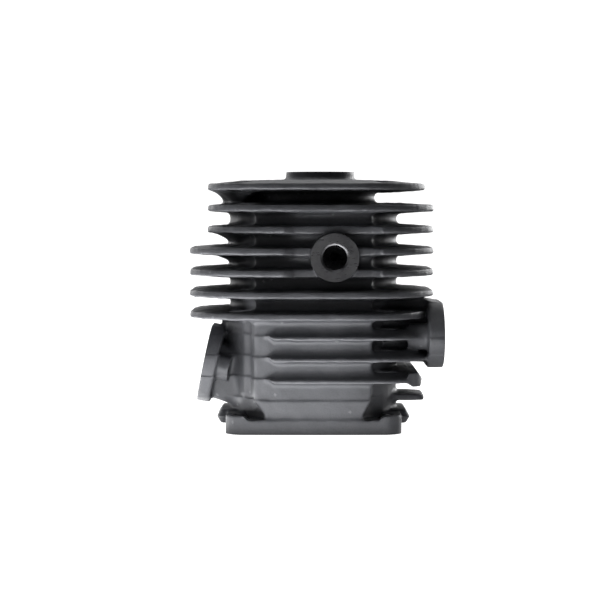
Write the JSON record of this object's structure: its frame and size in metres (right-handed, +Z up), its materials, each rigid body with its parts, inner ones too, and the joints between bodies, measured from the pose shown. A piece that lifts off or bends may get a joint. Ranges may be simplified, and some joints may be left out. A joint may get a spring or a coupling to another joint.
{
  "type": "two-stroke engine cylinder",
  "caption": "Air-cooled two-stroke cylinder with an integral finned head, an exhaust flange, a tilted intake flange and a decompression port, holding its piston.",
  "frame": {"origin": "centre of the bore on the crankcase joint face, which is also the centre of the four base bolts", "axes": "+Z up the bore to the spark plug, +X out of the exhaust port, -Y out of the decompression port"},
  "size_m": [0.0939, 0.083, 0.0959],
  "materials": {
    "casting": "dark grey as-cast aluminium, satin",
    "bore_plating": "honed nickel plating with a cross-hatch",
    "piston_alloy": "turned aluminium alloy",
    "ring_iron": "ground",
    "hardened_steel": "ground and polished",
    "spring_steel": "blued"
  },
  "bodies": {
    "cylinder": {"casting_barrel": "casting", "casting_head": "casting", "casting_base_flange": "casting", "casting_plug_boss": "casting", "casting_decompression_boss": "casting", "casting_front_transfer_bulge": "casting", "casting_rear_transfer_bulge": "casting", "casting_exhaust_duct": "casting", "casting_exhaust_flange": "casting", "casting_intake_duct": "casting", "casting_intake_flange": "casting", "casting_fin_01": "casting", "casting_fin_02": "casting", "casting_fin_03": "casting", "casting_fin_04": "casting", "casting_fin_05": "casting", "casting_fin_06": "casting", "casting_fin_07": "casting", "casting_fin_08": "casting", "casting_fin_09": "casting", "casting_fin_10": "casting", "casting_fin_11": "casting", "bore_plating": "bore_plating"},
    "piston": {"piston": "piston_alloy", "upper_piston_ring": "ring_iron", "lower_piston_ring": "ring_iron", "upper_ring_pin": "hardened_steel", "lower_ring_pin": "hardened_steel", "front_circlip": "spring_steel", "rear_circlip": "spring_steel"},
    "gudgeon_pin": {"gudgeon_pin": "hardened_steel"}
  },
  "joints": [
    {"name": "piston_slide", "type": "slide", "parent": "cylinder", "child": "piston", "axis": [0, 0, 1], "range_m": [-0.0112, 0.0228]},
    {"name": "gudgeon_pin_turn", "type": "hinge", "parent": "piston", "child": "gudgeon_pin", "pos_m": [0, 0, 0.019], "axis": [0, 1, 0], "continuous": true}
  ]
}
